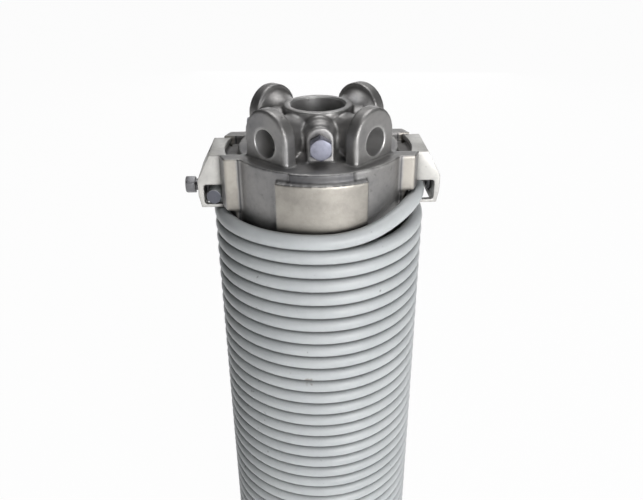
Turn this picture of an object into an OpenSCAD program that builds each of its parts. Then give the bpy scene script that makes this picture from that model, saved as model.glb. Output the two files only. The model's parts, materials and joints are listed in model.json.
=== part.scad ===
// Torsion spring of a sectional door, with its winding plug, stationary plug and wire clamps.
// The shaft axis is Z. The origin is the centre of the stationary plug's mounting face.

/* [Spring] */
// Diameter of the spring wire
wire_d = 7.5; // [6.5:0.1:8]
// Inside diameter of the coil
coil_id = 95; // [92:0.5:100]
// Gap between two neighbouring turns
turn_gap = 0.1; // [0.05:0.05:0.4]
// Number of close-wound turns between the two end turns
close_turns = 32; // [16:1:40]
// Length of the straight tail at each cut end of the wire
tail_length = 21; // [14:0.5:22]

/* [Shaft and winding bars] */
// Diameter of the bore that slides on the shaft
bore_d = 27; // [25.8:0.1:28.5]
// Chamfer at each mouth of a bore
bore_chamfer = 0.9; // [0.4:0.1:1.4]
// Diameter of a socket for a winding bar
socket_d = 13.5; // [10:0.5:15]
// Depth of a socket for a winding bar
socket_depth = 20; // [14:0.5:20]

/* [Drum] */
// Radial clearance between drum and coil
drum_fit = 0.3; // [0.2:0.05:0.6]
// Length of the drum from its outer face
drum_length = 62; // [50:1:72]
// Wall of the drum around its hollow
drum_wall = 5.5; // [4:0.5:8]
// Depth of the flutes between the pads of the drum
flute_depth = 2.8; // [1:0.1:4]
// Height of the seat ring at the inner end of the drum
seat_ring = 8; // [5:0.5:14]
// Half angle of the wide pads
wide_pad_angle = 28; // [20:1:32]
// Half angle of the lip above the wide pads
lip_angle = 19.5; // [10:0.5:20]
// Drop from the drum's outer face to the top of the wide pads
wide_pad_drop = 4.8; // [2:0.1:8]
// Half angle over which the drum keeps its full radius at a clamp
clamp_pad_angle = 27; // [25:0.5:27]
// Width of the guide block on each side of a clamp
guide_width = 7.6; // [5:0.2:8]
// Distance from the axis to the outer face of a guide block
guide_reach = 49.4; // [48:0.1:49.4]
// Depth of the recess in the drum's outer face inside a clamp
recess_depth = 5; // [3.5:0.5:6]
// Radius of the round platform under the hub
platform_r = 40.7; // [40:0.1:42]

/* [Winding hub] */
// Height of the hub tube above the drum's outer face
hub_height = 20.5; // [19:0.5:26]
// Wall of the hub tube at its rim
hub_wall = 3.8; // [3:0.1:5]
// Distance from the axis to the face of a socket flange
flange_reach = 37; // [36:0.5:39]
// Width of a socket flange
flange_width = 28; // [24:0.5:30]
// Thickness of a socket flange
flange_thickness = 7; // [5:0.5:8]
// Rise of a socket flange above the rim of the hub
flange_rise = 4.4; // [0:0.2:6]
// Depth of the socket's axis below the rim of the hub
socket_drop = 11.7; // [10.5:0.1:12]
// Outside diameter of a socket's neck
neck_d = 20; // [18.5:0.5:22]
// Distance from the axis to the face of a set bolt's boss
boss_reach = 28.5; // [27:0.5:31]
// Width of a set bolt's boss
boss_width = 13.2; // [12:0.2:15]
// Depth of the boss's arch below the rim of the hub
boss_drop = 3.2; // [2.5:0.1:5]
// Rounding of the boss's outer edge
boss_round = 0.8; // [0.4:0.1:1.2]
// Depth of a set bolt's axis below the rim of the hub
set_bolt_drop = 12.2; // [11:0.1:13]

/* [Bolts] */
// Thread diameter of a shaft set bolt
set_bolt_d = 8; // [6:0.5:9]
// Width across flats of a shaft set bolt's head
set_bolt_af = 10; // [9:0.5:12]
// Height of a shaft set bolt's head
set_bolt_head = 5.5; // [4:0.5:6.5]
// Length of thread seen between a boss and its bolt head
set_bolt_standoff = 1.5; // [0.5:0.1:3]
// Thread diameter of a clamp bolt
clamp_bolt_d = 6; // [5:0.5:6.5]
// Width across flats of a clamp bolt's head
clamp_bolt_af = 8; // [7:0.5:9]
// Height of a clamp bolt's head
clamp_bolt_head = 5; // [3:0.5:6]
// Length of thread seen between a clamp and its bolt head
clamp_bolt_standoff = 3; // [1:0.5:5]
// Thickness of the nut welded inside a clamp
nut_height = 2; // [1.6:0.1:2.8]
// Width across flats of the nut welded inside a clamp
nut_af = 10; // [9:0.5:10.5]

/* [Clamps] */
// Thickness of the clamp's sheet
sheet = 2.5; // [2:0.1:3]
// Width of a clamp across its two flanges
clamp_width = 28; // [26:0.5:30]
// Depth of the clamp's roof below the drum's outer face
roof_drop = 0.8; // [0:0.1:2]
// Height of the opening that holds the wire
notch_height = 10.6; // [9.5:0.1:11]
// Depth of sheet under the wire
lip_height = 1.6; // [1.2:0.1:1.8]
// Distance from the axis to the inner edge of a flange
flange_inner = 49; // [48.5:0.1:50]
// Distance from the axis to the outer corner of the roof
roof_outer = 54.2; // [53:0.1:56]

/* [Mounting flange] */
// Thickness of the mounting flange
mount_thickness = 12; // [8:0.5:16]
// Radius of the mounting flange around the bore
mount_radius = 43; // [38:0.5:50]
// Distance between the two mounting bolts
mount_pitch = 127; // [122:0.5:134]
// Diameter of a mounting bolt's hole
mount_hole_d = 10.5; // [8.5:0.5:13]
// Radius of the ear around a mounting hole
ear_radius = 14; // [12:0.5:17]
// Gap between the mounting flange and the drum
mount_neck = 12; // [10:0.5:20]

/* [Hidden] */
$fn = 64;
eps = 0.01;
far = 200;

// Coil: mean radius, pitch and the depths of its turns below a drum's outer face
coil_r = (coil_id + wire_d) / 2;
coil_pitch = wire_d + turn_gap;
clamp_half = clamp_width / 2;
roof_to_notch = 12.6;
notch_top = roof_drop + sheet + roof_to_notch;
notch_bottom = notch_top + notch_height;
wire_seat = 0.2;
lip_clearance = 0.5;
tail_trim = 0.4;
// Arcs that meet end to end differ by this much in diameter, so that each joint is a clean narrow step
wire_step = 0.04;
joint_turn = 0.6;
joint_overlap = 0.5;
clamped_depth = notch_bottom - wire_seat - wire_d / 2;
lip_depth = notch_bottom + lip_height;
leave_angle = -asin((clamp_half + 1) / coil_r);
joint_angle = -90;
under_clamp_drop = coil_pitch / 4 * (1 - cos(joint_angle + 180 - asin(clamp_half / coil_r)));
joint_depth = lip_depth + wire_d / 2 + lip_clearance - under_clamp_drop;
tail_angle = 180 + atan2(clamp_half, coil_r) - atan2(tail_length, coil_r) - tail_trim;
tail_lean = 180 - tail_angle;

// Stack along the axis
drum_face_low = mount_thickness + mount_neck;
coil_rise = close_turns * coil_pitch;
drum_face_high = drum_face_low + 2 * joint_depth + coil_rise;

// Drum
drum_r = coil_id / 2 - drum_fit;
flute_r = drum_r - flute_depth;
guide_start = clamp_half + 0.4;
guide_end = guide_start + guide_width;
guide_slant = 2.9;
guide_depth = clamped_depth - wire_d / 2 - lip_clearance;
long_guide_depth = joint_depth - wire_d / 2;
lug_half = clamp_half - sheet - 0.3;
lug_outer = roof_outer - sheet - 0.6;
lug_bottom = notch_top;
hollow_r = drum_r - drum_wall - flute_depth;
drum_floor = 11;

// Hub
rim_r = bore_d / 2 + hub_wall;
hub_sweep_r = 28;
flange_arch = flange_width / 2;
flange_top = hub_height + flange_rise;
socket_height = hub_height - socket_drop;
neck_flare = 3.8;
neck_sweep_r = 14;
neck_sweep = sqrt(pow(neck_sweep_r, 2) - pow(neck_sweep_r - neck_flare, 2));
flange_back = flange_reach - flange_thickness;
boss_arch = boss_width / 2;
boss_top = hub_height - boss_drop;
boss_fillet = 3.4;
boss_root = 22;
neck_pad = 9;
set_bolt_height = hub_height - set_bolt_drop;
set_bolt_tip = bore_d / 2 + 0.6;

// Mounting flange
mount_neck_r = 38;

// Clamp profile; the nut's inner face clears the wire's straight tail
tail_reach = (coil_r + wire_d / 2 + nut_af / 2 * sin(tail_lean)) / cos(tail_lean);
nut_face = tail_reach + 0.4;
web_inner = nut_face + nut_height;
web_outer = web_inner + sheet;
web_knee = roof_drop + 13;
web_height = 8;
clamp_bolt_depth = clamped_depth - 1.4;
slot_width = clamp_width - 2 * sheet - 6;
thread_play = 0.15;

// Places one copy of the winding end's pieces; they share the drum's outer face
module at_winding_end() {
    translate([0, 0, drum_face_high]) children();
}

// Places the same pieces at the stationary end, turned over so that they face down
module at_stationary_end() {
    translate([0, 0, drum_face_low]) rotate([0, 180, 0]) children();
}

// A wedge from the axis that keeps what lies within +-half of an angle
module sector(half, bottom, top) {
    translate([0, 0, bottom])
        linear_extrude(top - bottom)
            polygon([[0, 0], [far, -far * tan(half)], [far, far * tan(half)]]);
}

// ---- Spring coil ------------------------------------------------------------

// One arc of wire about the Z axis of its own frame, from angle zero; shrink is taken off its diameter
module wire_arc(radius, angle, shrink = 0) {
    rotate_extrude(angle = angle, $fn = 96)
        translate([radius, 0]) circle(d = wire_d - shrink, $fn = 32);
}

// A half turn that climbs half a pitch and starts and ends level
module climbing_half_turn(shrink) {
    tilt = asin(coil_pitch / (4 * coil_r));
    translate([0, 0, coil_pitch / 4]) rotate([0, tilt, 0]) wire_arc(coil_r, 180, shrink);
}

// The lift between the close turns and the clamped turn is two equal arcs that meet in one tangent.
// Each arc starts level on the coil's radius and leans by lean() so that it gains half of the lift.
function lift_half_angle() = (leave_angle - joint_angle) / 2;
function lift_gain() = (joint_depth - clamped_depth) / 2;
function arc_turn(lean) = atan(tan(lift_half_angle()) / cos(lean));
function arc_radius(lean) =
    coil_r * tan(lift_half_angle())
    / (sin(arc_turn(lean)) + tan(lift_half_angle()) * (1 - cos(arc_turn(lean))) * cos(lean));
function arc_gain(lean) = arc_radius(lean) * (1 - cos(arc_turn(lean))) * sin(lean);
function lean(low = 0, high = 60, steps = 40) =
    steps == 0 ? (low + high) / 2
    : arc_gain((low + high) / 2) < lift_gain() ? lean((low + high) / 2, high, steps - 1)
    : lean(low, (low + high) / 2, steps - 1);

// Puts a piece on the circle of one lift arc; side 1 climbs, side -1 comes down from the clamped turn
module on_lift(side) {
    translate([coil_r, 0, 0])
        rotate([0, side * lean(), 0])
            translate([-arc_radius(lean()), 0, 0]) children();
}

// The clamped turn with its straight tail and the lift below it, from a drum's outer face down.
// A slightly thinner piece runs a little way into the piece it joins.
module end_turn() {
    translate([0, 0, -joint_depth])
        rotate([0, 0, joint_angle])
            on_lift(1) wire_arc(arc_radius(lean()), arc_turn(lean()) + joint_turn, 2 * wire_step);
    translate([0, 0, -clamped_depth])
        rotate([0, 0, leave_angle]) {
            on_lift(-1) wire_arc(arc_radius(lean()), -arc_turn(lean()), wire_step);
            wire_arc(coil_r, tail_angle - leave_angle);
            rotate([0, 0, tail_angle - leave_angle])
                translate([coil_r, -joint_overlap, 0])
                    rotate([-90, 0, 0])
                        cylinder(h = tail_length + joint_overlap, d = wire_d - wire_step, $fn = 32);
        }
}

module spring_coil() {
    color([0.70, 0.72, 0.73]) {
        for (i = [0:2 * close_turns - 1])
            translate([0, 0, drum_face_low + joint_depth + i * coil_pitch / 2])
                rotate([0, 0, joint_angle + 180 * (i % 2)])
                    climbing_half_turn(wire_step * (i % 2));
        at_winding_end() end_turn();
        at_stationary_end() end_turn();
    }
}

// ---- Drum shared by both plugs ----------------------------------------------

// Profile of the drum's body, from its outer face down to its inner end
module drum_body() {
    translate([0, 0, -drum_length]) {
        cylinder(r = flute_r, h = drum_length);
        cylinder(r1 = drum_r - 2, r2 = drum_r, h = 2);
        translate([0, 0, 2]) cylinder(r = drum_r, h = seat_ring - 2);
        translate([0, 0, seat_ring]) cylinder(r1 = drum_r, r2 = flute_r, h = flute_depth);
    }
}

// A pad that stands out of the flutes to the given radius over an angle
module drum_pad(half, radius, bottom, top) {
    intersection() {
        translate([0, 0, -bottom]) cylinder(r = radius, h = bottom - top);
        sector(half, -bottom - 1, -top + 1);
    }
}

// The outline of one guide block, which stands beside a clamp; its outer corner is cut back
module guide_outline() {
    polygon([
        [platform_r - 4, guide_start], [guide_reach, guide_start],
        [guide_reach - guide_slant, guide_end], [platform_r - 4, guide_end]
    ]);
}

// The lug that carries a clamp's roof
module clamp_lug() {
    translate([hollow_r + 2, -lug_half, -lug_bottom])
        cube([lug_outer - hollow_r - 2, 2 * lug_half, lug_bottom - roof_drop - sheet]);
}

// The drum; one guide block may reach further down beside the wire's cut end
module drum() {
    drum_body();
    for (turn = [90, 270]) rotate([0, 0, turn]) {
        drum_pad(wide_pad_angle, drum_r, drum_length - seat_ring, wide_pad_drop);
        drum_pad(lip_angle, flute_r + 0.9, wide_pad_drop + 1, 0);
    }
    for (turn = [0, 180]) rotate([0, 0, turn]) {
        drum_pad(clamp_pad_angle, drum_r, drum_length - seat_ring, 0);
        for (side = [0, 1])
            translate([0, 0, -guide_depth])
                linear_extrude(guide_depth) mirror([0, side]) guide_outline();
        clamp_lug();
    }
    translate([0, 0, -long_guide_depth]) linear_extrude(long_guide_depth) rotate(180) guide_outline();
}

// The recess inside each clamp, between the platform and the clamp's lug
module clamp_recess() {
    for (turn = [0, 180])
        rotate([0, 0, turn])
            intersection() {
                difference() {
                    translate([platform_r - 10, -guide_start, -recess_depth])
                        cube([20, 2 * guide_start, recess_depth + 1]);
                    cylinder(r = platform_r, h = 3 * recess_depth, center = true);
                }
                cylinder(r = drum_r + 0.1, h = 3 * recess_depth, center = true);
            }
}

// Hollow of the drum, open toward the coil, with a chamfered mouth
module drum_hollow() {
    translate([0, 0, -drum_length - eps]) {
        cylinder(r = hollow_r, h = drum_length - drum_floor);
        cylinder(r1 = hollow_r + 1.5, r2 = hollow_r, h = 1.5);
    }
}

// Through bore with a chamfer at the end that faces up
module shaft_bore(bottom, top) {
    translate([0, 0, bottom - 1]) cylinder(d = bore_d, h = top - bottom + 2);
    translate([0, 0, top - bore_chamfer])
        cylinder(r1 = bore_d / 2, r2 = bore_d / 2 + bore_chamfer + eps, h = bore_chamfer + eps);
}

// ---- Winding plug -----------------------------------------------------------

// The hub tube, which sweeps out to its foot on the drum
module hub_tube() {
    rotate_extrude()
        difference() {
            translate([bore_d / 2 - 2, 0]) square([platform_r - bore_d / 2 - 6, hub_height]);
            translate([rim_r + hub_sweep_r, hub_height]) circle(r = hub_sweep_r, $fn = 128);
        }
}

// A winding-bar socket: an arched flange on a round neck that flares at both ends
module socket_boss() {
    translate([0, 0, socket_height]) rotate([0, 90, 0]) cylinder(d = neck_d, h = flange_back);
    translate([flange_back, 0, socket_height])
        rotate([0, -90, 0])
            rotate_extrude()
                difference() {
                    square([neck_d / 2 + neck_flare + 1, neck_sweep]);
                    translate([neck_d / 2 + neck_sweep_r, neck_sweep])
                        circle(r = neck_sweep_r, $fn = 96);
                }
    translate([flange_back, 0, 0]) {
        translate([0, 0, flange_top - flange_arch])
            rotate([0, 90, 0]) {
                cylinder(r = flange_arch, h = flange_thickness - 1);
                translate([0, 0, flange_thickness - 1])
                    cylinder(r1 = flange_arch, r2 = flange_arch - 1, h = 1);
            }
        translate([0, -flange_arch, -1])
            cube([flange_thickness - 1, 2 * flange_arch, flange_top - flange_arch + 1]);
        translate([0, 1 - flange_arch, -1])
            cube([flange_thickness, 2 * flange_arch - 2, flange_top - flange_arch + 1]);
    }
    translate([0, -neck_d / 4, -1]) cube([flange_back + 1, neck_d / 2, socket_height]);
    translate([rim_r - 2, -neck_pad / 2, socket_height]) cube([neck_pad, neck_pad, neck_d / 2 - 0.6]);
}

// Half the outline of a boss across its axis: a root that narrows in a fillet to the boss itself
module boss_profile() {
    difference() {
        square([boss_arch + boss_fillet / 2, boss_root + boss_fillet]);
        translate([boss_arch + boss_fillet, boss_root + boss_fillet]) circle(r = boss_fillet);
    }
    square([boss_arch - boss_round, boss_reach]);
    square([boss_arch, boss_reach - boss_round]);
    translate([boss_arch - boss_round, boss_reach - boss_round]) circle(r = boss_round);
}

// An arched boss that carries a set bolt
module bolt_boss() {
    arch_height = boss_top - boss_arch;
    translate([0, 0, arch_height])
        rotate([0, 90, 0]) rotate_extrude() boss_profile();
    translate([0, 0, -1])
        linear_extrude(arch_height + 1)
            rotate(-90) {
                boss_profile();
                mirror([1, 0]) boss_profile();
            }
}

module winding_plug() {
    color([0.52, 0.52, 0.51])
        at_winding_end()
            difference() {
                union() {
                    drum();
                    hub_tube();
                    for (turn = [45:90:315]) rotate([0, 0, turn]) socket_boss();
                    for (turn = [0:90:270]) rotate([0, 0, turn]) bolt_boss();
                }
                shaft_bore(-drum_length, hub_height);
                translate([0, 0, hub_height]) cylinder(r = rim_r - eps, h = far);
                drum_hollow();
                clamp_recess();
                for (turn = [45:90:315])
                    rotate([0, 0, turn])
                        translate([flange_reach - socket_depth, 0, socket_height])
                            rotate([0, 90, 0]) cylinder(d = socket_d, h = socket_depth + 1);
                for (turn = [0:90:270])
                    rotate([0, 0, turn])
                        translate([0, 0, set_bolt_height])
                            rotate([0, 90, 0])
                                cylinder(r = set_bolt_d / 2 + thread_play, h = boss_reach + 1);
            }
}

// ---- Bolts and nuts ---------------------------------------------------------

// A small-head bolt along +X: its tip at tip, its head's inner face at seat
module hex_bolt(tip, seat, d, af, head) {
    chamfer = d / 10;
    rotate([0, 90, 0]) {
        translate([0, 0, tip]) cylinder(d1 = d - 2 * chamfer, d2 = d, h = chamfer);
        translate([0, 0, tip + chamfer]) cylinder(d = d, h = seat - tip - chamfer);
        translate([0, 0, seat])
            intersection() {
                cylinder(d = af / cos(30), h = head, $fn = 6);
                union() {
                    cylinder(d = af / cos(30) + 1, h = head - 0.8);
                    translate([0, 0, head - 0.8])
                        cylinder(d1 = af / cos(30) + 0.9, d2 = af * 0.96, h = 0.8);
                }
            }
    }
}

module set_bolt(turn) {
    color([0.74, 0.74, 0.80])
        at_winding_end()
            rotate([0, 0, turn])
                translate([0, 0, set_bolt_height])
                    hex_bolt(set_bolt_tip, boss_reach + set_bolt_standoff,
                             set_bolt_d, set_bolt_af, set_bolt_head);
}

module clamp_bolt() {
    color([0.42, 0.42, 0.43])
        rotate([0, 0, 180])
            translate([0, 0, -clamp_bolt_depth])
                hex_bolt(nut_face, web_outer + clamp_bolt_standoff,
                         clamp_bolt_d, clamp_bolt_af, clamp_bolt_head);
}

// The hexagon nut welded inside a clamp's web
module clamp_nut(turn) {
    color([0.66, 0.66, 0.67])
        rotate([0, 0, turn])
            translate([nut_face, 0, -clamp_bolt_depth])
                rotate([0, 90, 0])
                    difference() {
                        cylinder(d = nut_af / cos(30), h = nut_height, $fn = 6);
                        translate([0, 0, -1])
                            cylinder(r = clamp_bolt_d / 2 + thread_play, h = nut_height + 2);
                    }
}

// ---- Clamps -----------------------------------------------------------------

// Outline of the clamp seen along its flanges: radius across, height up from the drum's face
module clamp_outline() {
    polygon([
        [flange_inner, -roof_drop], [roof_outer, -roof_drop],
        [web_outer, -web_knee], [web_outer, -web_knee - web_height], [web_outer - 1.2, -lip_depth],
        [flange_inner, -lip_depth]
    ]);
}

// The same outline drawn in by one sheet on the roof and web sides
module clamp_inside() {
    polygon([
        [-1, -roof_drop - sheet], [roof_outer - sheet * 0.6, -roof_drop - sheet],
        [web_inner, -web_knee - sheet * 0.25], [web_inner, -web_knee - web_height],
        [web_inner - 1.3, -lip_depth - 1], [-1, -lip_depth - 1]
    ]);
}

// Opening in a flange that takes the wire, with round outer corners
module wire_notch() {
    corner = 1.6;
    outer = web_inner - 0.2;
    translate([0, -notch_bottom]) {
        square([outer - corner, notch_height]);
        translate([0, corner]) square([outer, notch_height - 2 * corner]);
        for (y = [corner, notch_height - corner]) translate([outer - corner, y]) circle(r = corner);
    }
}

// A folded sheet clamp: two flanges, a roof with an arched edge and a cranked web
module wire_clamp(turn) {
    color([0.80, 0.79, 0.76])
        rotate([0, 0, turn])
            difference() {
                union() {
                    translate([0, clamp_half, 0])
                        rotate([90, 0, 0]) linear_extrude(clamp_width) clamp_outline();
                    translate([drum_r - 2, -clamp_half, -roof_drop - sheet])
                        cube([roof_outer - drum_r, clamp_width, sheet]);
                }
                translate([0, clamp_half - sheet, 0])
                    rotate([90, 0, 0]) linear_extrude(clamp_width - 2 * sheet) clamp_inside();
                translate([0, clamp_half + 1, 0])
                    rotate([90, 0, 0]) linear_extrude(clamp_width + 2) wire_notch();
                translate([0, 0, -far / 2]) cylinder(r = drum_r + 0.3, h = far);
                translate([0, 0, -clamp_bolt_depth])
                    rotate([0, 90, 0]) cylinder(r = clamp_bolt_d / 2 + thread_play, h = far);
                translate([roof_outer - 1.6, -slot_width / 2, -roof_drop - 5.5])
                    cube([8, slot_width, 4]);
            }
}

// ---- Stationary plug --------------------------------------------------------

// Outline of the mounting flange: a disc and two ears joined by their tangents
module mount_outline() {
    reach = mount_pitch / 2;
    lean_in = asin((mount_radius - ear_radius) / reach);
    circle(r = mount_radius);
    for (side = [-1, 1]) translate([0, side * reach]) circle(r = ear_radius);
    for (side = [-1, 1])
        polygon([
            [-mount_radius * cos(lean_in), side * mount_radius * sin(lean_in)],
            [mount_radius * cos(lean_in), side * mount_radius * sin(lean_in)],
            [ear_radius * cos(lean_in), side * (reach + ear_radius * sin(lean_in))],
            [-ear_radius * cos(lean_in), side * (reach + ear_radius * sin(lean_in))]
        ]);
}

module stationary_plug() {
    color([0.52, 0.52, 0.51])
        difference() {
            union() {
                at_stationary_end() drum();
                linear_extrude(mount_thickness) mount_outline();
                translate([0, 0, mount_thickness - 1]) cylinder(r = mount_neck_r, h = mount_neck + 2);
            }
            translate([0, 0, -1]) cylinder(d = bore_d, h = drum_face_low + drum_length + 2);
            translate([0, 0, -eps])
                cylinder(r1 = bore_d / 2 + bore_chamfer, r2 = bore_d / 2, h = bore_chamfer);
            at_stationary_end() {
                drum_hollow();
                clamp_recess();
            }
            for (side = [-1, 1])
                translate([0, side * mount_pitch / 2, -1])
                    cylinder(d = mount_hole_d, h = mount_thickness + 2);
        }
}

spring_coil();
winding_plug();
at_winding_end() wire_clamp(180);  // winding_clamp_left
at_winding_end() wire_clamp(0);  // winding_clamp_right
at_winding_end() clamp_nut(180);  // winding_clamp_nut_left
at_winding_end() clamp_nut(0);  // winding_clamp_nut_right
at_winding_end() clamp_bolt();  // winding_clamp_bolt
set_bolt(270);  // set_bolt_front
set_bolt(0);  // set_bolt_right
set_bolt(90);  // set_bolt_back
set_bolt(180);  // set_bolt_left
stationary_plug();
at_stationary_end() wire_clamp(180);  // stationary_clamp_left
at_stationary_end() wire_clamp(0);  // stationary_clamp_right
at_stationary_end() clamp_nut(180);  // stationary_clamp_nut_left
at_stationary_end() clamp_nut(0);  // stationary_clamp_nut_right
at_stationary_end() clamp_bolt();  // stationary_clamp_bolt
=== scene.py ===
"""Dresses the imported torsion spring: its wire, its two cast plugs, the sheet clamps and the bolts."""
import json
import logging
import math
from dataclasses import dataclass
from enum import Enum
from typing import Sequence

import bmesh
import bpy
from mathutils import Matrix, Vector

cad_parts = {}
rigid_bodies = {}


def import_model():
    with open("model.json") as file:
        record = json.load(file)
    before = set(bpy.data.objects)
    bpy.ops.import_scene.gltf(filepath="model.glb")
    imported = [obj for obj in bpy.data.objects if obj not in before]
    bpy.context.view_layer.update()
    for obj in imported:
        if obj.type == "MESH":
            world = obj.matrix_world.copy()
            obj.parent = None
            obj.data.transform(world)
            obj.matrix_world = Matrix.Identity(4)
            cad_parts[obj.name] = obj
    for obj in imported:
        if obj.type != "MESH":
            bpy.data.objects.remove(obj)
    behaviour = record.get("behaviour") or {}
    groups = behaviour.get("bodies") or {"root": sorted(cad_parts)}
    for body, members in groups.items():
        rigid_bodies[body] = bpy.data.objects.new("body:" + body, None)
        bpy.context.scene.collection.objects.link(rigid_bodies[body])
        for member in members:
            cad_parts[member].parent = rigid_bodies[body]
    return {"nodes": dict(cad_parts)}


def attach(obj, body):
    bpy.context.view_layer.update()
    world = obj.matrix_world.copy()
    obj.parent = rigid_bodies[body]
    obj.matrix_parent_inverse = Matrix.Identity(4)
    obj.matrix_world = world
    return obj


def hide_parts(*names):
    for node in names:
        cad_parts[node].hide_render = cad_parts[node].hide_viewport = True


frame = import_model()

LOG = logging.getLogger("torsion_spring")
MM = 0.001
FLOAT, COLOUR = "NodeSocketFloat", "NodeSocketColor"
Colour = tuple[float, float, float]
Socket = bpy.types.NodeSocket


class End(Enum):
    """The two ends of the spring."""

    WINDING = "winding"
    STATIONARY = "stationary"


class Side(Enum):
    """The two clamps of an end."""

    RIGHT = "right"
    LEFT = "left"


class Boss(Enum):
    """The four bosses of the winding hub, each with a set bolt."""

    FRONT = "front"
    RIGHT = "right"
    BACK = "back"
    LEFT = "left"


# ---- Sizes of the spring -----------------------------------------------------


@dataclass(frozen=True)
class SpringSizes:
    """Sizes of the wire and its path, in millimetres and degrees; depths are below a drum's face."""

    wire_d: float = 7.5
    coil_id: float = 95.0
    turn_gap: float = 0.1
    close_turns: int = 32
    clamp_half: float = 14.0
    notch_bottom: float = 26.5
    wire_seat: float = 0.2
    lip_height: float = 1.6
    lip_clearance: float = 0.5
    leave_margin: float = 1.0
    tail_length: float = 21.0
    tail_trim: float = 0.4
    joint_angle: float = -90.0
    face_low: float = 24.0

    @property
    def coil_r(self) -> float:
        """Radius of the wire's middle line in the coil."""
        return (self.coil_id + self.wire_d) / 2

    @property
    def pitch(self) -> float:
        """Rise of one close turn."""
        return self.wire_d + self.turn_gap

    @property
    def clamped_depth(self) -> float:
        """Depth of the turn that the clamps hold."""
        return self.notch_bottom - self.wire_seat - self.wire_d / 2

    @property
    def joint_depth(self) -> float:
        """Depth of the joint between the lift and the close turns, which clear the clamps' lips."""
        fall_to_clamp = self.pitch / 4 * (1 - self.clamp_half / self.coil_r)
        return self.notch_bottom + self.lip_height + self.lip_clearance + self.wire_d / 2 - fall_to_clamp

    @property
    def leave_angle(self) -> float:
        """Angle at which the wire leaves the right clamp."""
        return -math.degrees(math.asin((self.clamp_half + self.leave_margin) / self.coil_r))

    @property
    def tail_angle(self) -> float:
        """Angle at which the clamped turn ends and the straight tail begins."""
        past_clamp = math.atan2(self.clamp_half, self.coil_r) - math.atan2(self.tail_length, self.coil_r)
        return 180 + math.degrees(past_clamp) - self.tail_trim

    @property
    def face_high(self) -> float:
        """Height of the winding drum's outer face."""
        return self.face_low + 2 * self.joint_depth + self.close_turns * self.pitch


SIZES = SpringSizes()


@dataclass(frozen=True)
class LiftArc:
    """One of the two equal arcs that lift the wire to its clamped turn, in millimetres and degrees."""

    lean: float
    turn: float
    radius: float

    @property
    def gain(self) -> float:
        """Height that the arc gains."""
        return self.radius * (1 - math.cos(math.radians(self.turn))) * math.sin(math.radians(self.lean))

    @classmethod
    def leaning(cls, lean: float, sizes: SpringSizes) -> "LiftArc":
        """Gives the arc of one lean that starts level on the coil and ends halfway to the clamp.

        Args:
            lean: The lean of the arc's plane, in degrees.
            sizes: The wire's sizes.

        Returns:
            The arc.
        """
        slope = math.tan(math.radians(sizes.leave_angle - sizes.joint_angle) / 2)
        level = math.cos(math.radians(lean))
        turn = math.atan(slope / level)
        radius = sizes.coil_r * slope / (math.sin(turn) + slope * level * (1 - math.cos(turn)))
        return cls(lean, math.degrees(turn), radius)

    @classmethod
    def fitted(cls, sizes: SpringSizes, steepest: float = 60.0, halvings: int = 40) -> "LiftArc":
        """Finds the arc that gains half of the lift, by halving the range of leans.

        Args:
            sizes: The wire's sizes.
            steepest: The greatest lean to try, in degrees.
            halvings: How often the range is halved.

        Returns:
            The arc.
        """
        low, high = 0.0, steepest
        for _ in range(halvings):
            middle = (low + high) / 2
            if cls.leaning(middle, sizes).gain < (sizes.joint_depth - sizes.clamped_depth) / 2:
                low = middle
            else:
                high = middle
        return cls.leaning(low, sizes)


def end_matrix(end: End) -> Matrix:
    """Gives the placing of a piece drawn about a drum's outer face.

    Args:
        end: The end of the spring.

    Returns:
        A matrix from millimetres about that face to metres in the frame.
    """
    scale = Matrix.Diagonal((MM, MM, MM, 1.0))
    if end is End.WINDING:
        return scale @ Matrix.Translation((0, 0, SIZES.face_high))
    return scale @ Matrix.Translation((0, 0, SIZES.face_low)) @ Matrix.Rotation(math.pi, 4, "Y")


def turned(degrees: float) -> Matrix:
    """Gives a turn about the shaft's axis."""
    return Matrix.Rotation(math.radians(degrees), 4, "Z")


# ---- Shader groups -----------------------------------------------------------


def rgba(colour: Sequence[float], share: float = 1.0) -> tuple[float, ...]:
    """Gives an opaque colour for a socket, darkened to a share of itself."""
    return (*(share * value for value in colour), 1.0)


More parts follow.
